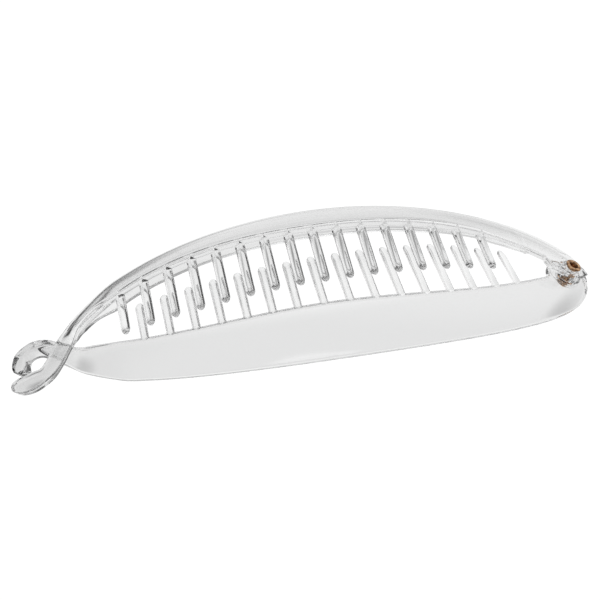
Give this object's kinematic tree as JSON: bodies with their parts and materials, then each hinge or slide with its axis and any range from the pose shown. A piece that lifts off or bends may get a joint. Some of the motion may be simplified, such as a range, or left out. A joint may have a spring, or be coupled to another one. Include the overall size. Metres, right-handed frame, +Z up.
{
  "type": "banana hair clip",
  "caption": "Long arched hair clip of clear plastic: two bowed comb arms hinged on a brass rivet at one end, with curled hooks that latch at the other.",
  "frame": {"origin": "middle of the clip's outline, on the plane that it rests on", "axes": "+X along the clip from the hooks to the hinge, +Y across it from the near arm to the far arm, +Z up, out of the curve's outer side"},
  "size_m": [0.1503, 0.05, 0.0253],
  "materials": {
    "clear_plastic": "water-clear and polished, as moulded",
    "brass": "bright, copper-coloured, darker inside the bore"
  },
  "bodies": {
    "near_arm": {"near_comb_arm": "clear_plastic", "hinge_rivet": "brass"},
    "far_arm": {"far_comb_arm": "clear_plastic"}
  },
  "joints": [
    {"name": "clip_hinge", "type": "hinge", "parent": "near_arm", "child": "far_arm", "pos_m": [0.0699, 0, 0.00509], "axis": [-0.454, 0, -0.891], "range_deg": [0, 110]}
  ]
}
